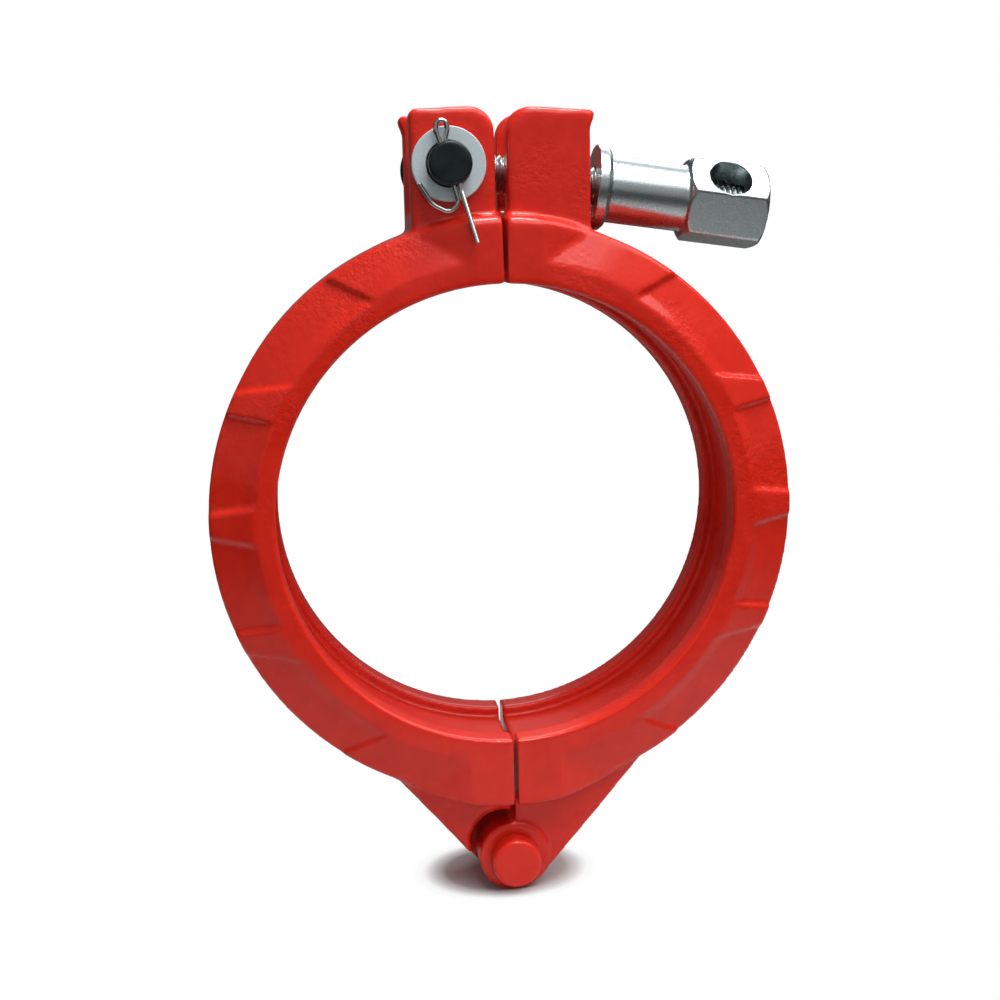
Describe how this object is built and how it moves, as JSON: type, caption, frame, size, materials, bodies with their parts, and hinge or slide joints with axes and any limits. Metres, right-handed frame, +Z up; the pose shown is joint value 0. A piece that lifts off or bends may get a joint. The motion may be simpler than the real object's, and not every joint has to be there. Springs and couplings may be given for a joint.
{
  "type": "concrete pump pipe clamp",
  "caption": "Hinged clamp for concrete pump pipes: cast half rings that grip raised pipe collars, closed by a swinging eye bolt and a long sleeve nut.",
  "frame": {"origin": "middle of the pipe bore, half way through the clamp's width", "axes": "+Y along the pipe, -Y is the front; +Z up through the lugs; +X towards the nut"},
  "size_m": [0.1808, 0.0497, 0.2462],
  "materials": {
    "red_paint": "gloss enamel over a slightly rough casting",
    "black_steel": "black oxide, satin",
    "zinc_washer": "zinc plated, matt",
    "zinc_plate": "zinc plated, satin",
    "bright_wire": "drawn steel, bright"
  },
  "bodies": {
    "fixed_half": {"left_half": "red_paint", "hinge_pin": "red_paint", "clevis_pin": "black_steel", "clevis_washer": "zinc_washer", "cotter_pin": "bright_wire"},
    "opening_half": {"right_half": "red_paint"},
    "swing_bolt": {"eye_bolt": "zinc_plate"},
    "nut_washer": {"thrust_washer": "zinc_plate"},
    "nut": {"sleeve_nut": "zinc_plate"}
  },
  "joints": [
    {"name": "bolt_swing", "type": "hinge", "parent": "fixed_half", "child": "swing_bolt", "pos_m": [-0.0159, 0, 0.106], "axis": [0, -1, 0], "range_deg": [0, 195.5]},
    {"name": "half_hinge", "type": "hinge", "parent": "fixed_half", "child": "opening_half", "pos_m": [0, 0, -0.1117], "axis": [0, 1, 0], "range_deg": [0, 7.65]},
    {"name": "nut_travel", "type": "slide", "parent": "swing_bolt", "child": "nut_washer", "axis": [0.9914, 0, -0.1305], "range_m": [0, 0.0402]},
    {"name": "nut_spin", "type": "hinge", "parent": "nut_washer", "child": "nut", "pos_m": [-0.0159, 0, 0.106], "axis": [0.9914, 0, -0.1305], "range_deg": [0, 8250]}
  ],
  "couplings": [
    {"joint": "half_hinge", "follows": "bolt_swing", "ratio": 0.039},
    {"joint": "nut_travel", "follows": "bolt_swing", "m_per_rad": 0.011746},
    {"joint": "nut_spin", "follows": "bolt_swing", "ratio": 42.171}
  ]
}
